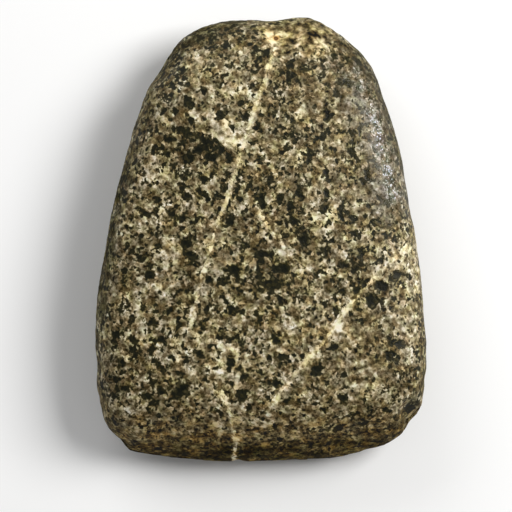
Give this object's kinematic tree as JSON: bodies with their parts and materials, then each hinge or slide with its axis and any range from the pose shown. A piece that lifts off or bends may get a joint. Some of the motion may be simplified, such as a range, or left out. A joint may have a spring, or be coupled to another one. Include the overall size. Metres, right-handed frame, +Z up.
{
  "type": "stone adze head",
  "caption": "Ground and polished speckled stone adze head, trapezoid in plan with rounded sides, a bevelled cutting edge and a flatter underside.",
  "frame": {"origin": "middle of the underside, at the centre of the overall length and width, on the resting plane", "axes": "+Z up through the thickness, +Y along the length from the cutting edge towards the butt, +X to the right as seen from above with the butt at the top"},
  "size_m": [0.067, 0.09, 0.022],
  "materials": {
    "stone": "ground and polished, semi-gloss, speckled cream and dark green-black"
  },
  "bodies": {
    "root": {"adze_head": "stone"}
  },
  "joints": []
}
